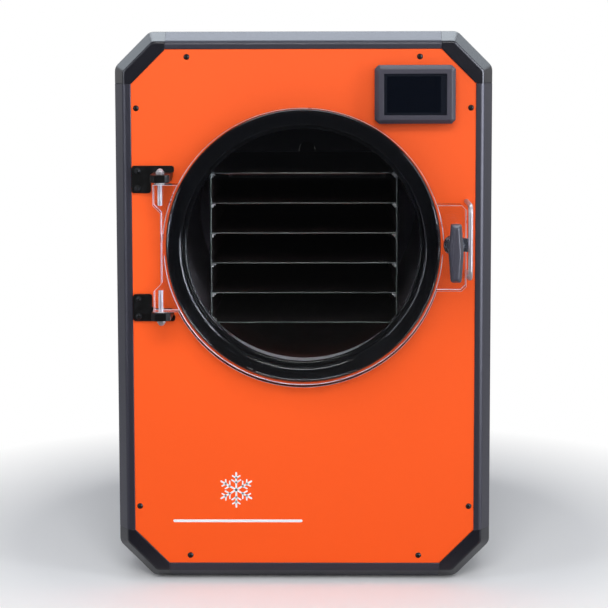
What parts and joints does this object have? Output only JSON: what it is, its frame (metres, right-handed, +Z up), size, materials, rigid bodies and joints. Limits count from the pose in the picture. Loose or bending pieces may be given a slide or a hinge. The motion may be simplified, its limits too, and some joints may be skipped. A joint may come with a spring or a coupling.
{
  "type": "freeze dryer",
  "caption": "Upright cabinet freeze dryer with a round clear door on a left hinge, a turning latch knob, a touch display and a shelf rack in a cylindrical vacuum chamber.",
  "frame": {"origin": "centre of the bounding box at the bottom of the feet", "axes": "+Z up, -Y towards the door, +X to the right of someone facing the door"},
  "size_m": [0.483, 0.719, 0.713],
  "materials": {
    "frame_paint": "fine textured powder coat",
    "corner_cast": "satin powder coat on a casting",
    "panel_orange": "satin powder coat",
    "cover_paint": "fine textured powder coat",
    "zinc_sheet": "zinc plated",
    "foot_rubber": "matt",
    "display_plastic": "fine grained",
    "screen_glass": "glossy",
    "circuit_board": "solder mask",
    "chamber_steel": "brushed stainless",
    "rack_steel": "brushed stainless",
    "bright_steel": "polished",
    "gasket_rubber": "glossy moulded",
    "copper": "drawn",
    "foam": "foamed",
    "heater_mat": "silicone",
    "clear_acrylic": "polished",
    "black_steel": "black oxide",
    "nylon": "natural",
    "knob_plastic": "fine grained",
    "zinc_cast": "zinc plated",
    "compressor_paint": "gloss enamel",
    "condenser_fins": "thin fins on copper tubes",
    "fan_sheet": "black enamel",
    "fan_plastic": "moulded",
    "black_plastic": "moulded",
    "red_plastic": "moulded",
    "brass": "machined"
  },
  "bodies": {
    "cabinet": {"frame_bar_top": "frame_paint", "frame_bar_bottom": "frame_paint", "frame_bar_left": "frame_paint", "frame_bar_right": "frame_paint", "frame_corner_top_left": "corner_cast", "frame_corner_top_right": "corner_cast", "frame_corner_bottom_left": "corner_cast", "frame_corner_bottom_right": "corner_cast", "front_panel": "panel_orange", "front_panel_screws": "black_steel", "cabinet_cover": "cover_paint", "base_pan": "zinc_sheet", "rear_panel": "cover_paint", "rear_panel_screws": "black_steel", "rubber_feet": "foot_rubber", "display_bezel": "display_plastic", "display_screen": "screen_glass", "display_board": "circuit_board", "vacuum_chamber": "chamber_steel", "door_gasket": "gasket_rubber", "cooling_coil": "copper", "insulation_jacket": "foam", "chamber_saddles": "zinc_sheet", "rack_side_left": "rack_steel", "rack_side_right": "rack_steel", "shelf_1": "rack_steel", "shelf_2": "rack_steel", "shelf_3": "rack_steel", "shelf_4": "rack_steel", "shelf_5": "rack_steel", "shelf_6": "rack_steel", "shelf_cleats": "bright_steel", "heater_mats": "heater_mat", "hinge_bracket_upper": "black_steel", "hinge_bracket_lower": "black_steel", "hinge_bolts": "bright_steel", "hinge_washers": "nylon", "hinge_screws": "black_steel", "latch_keeper": "bright_steel", "keeper_nuts": "bright_steel", "compressor": "compressor_paint", "compressor_mounts": "foot_rubber", "condenser": "condenser_fins", "fan_shroud": "fan_sheet", "fan_motor": "fan_sheet", "filter_drier": "copper", "control_board": "circuit_board", "power_inlet": "black_plastic", "switch_housing": "black_plastic", "pump_socket": "black_plastic", "vacuum_pipe": "bright_steel", "drain_pipe": "bright_steel", "drain_valve": "brass"},
    "door": {"door": "clear_acrylic"},
    "latch": {"latch_knob": "knob_plastic", "latch_stem": "zinc_cast", "latch_cam": "zinc_cast"},
    "fan": {"fan_blades": "fan_plastic"},
    "rocker": {"power_rocker": "red_plastic"},
    "drain_handle": {"drain_lever": "red_plastic"}
  },
  "joints": [
    {"name": "door_swing", "type": "hinge", "parent": "cabinet", "child": "door", "pos_m": [-0.179, -0.2908, 0.443], "axis": [0, 0, -1], "range_deg": [0, 115]},
    {"name": "latch_turn", "type": "hinge", "parent": "door", "child": "latch", "pos_m": [0.188, -0.3095, 0.448], "axis": [0, 1, 0], "range_deg": [0, 90]},
    {"name": "fan_spin", "type": "hinge", "parent": "cabinet", "child": "fan", "pos_m": [0, 0.2725, 0.1017], "axis": [0, 1, 0], "continuous": true},
    {"name": "rocker_tip", "type": "hinge", "parent": "cabinet", "child": "rocker", "pos_m": [-0.165, 0.3285, 0.388], "axis": [1, 0, 0], "range_deg": [-20, 0]},
    {"name": "drain_turn", "type": "hinge", "parent": "cabinet", "child": "drain_handle", "pos_m": [0, 0.3445, 0.226], "axis": [0, 0, 1], "range_deg": [0, 90]}
  ]
}
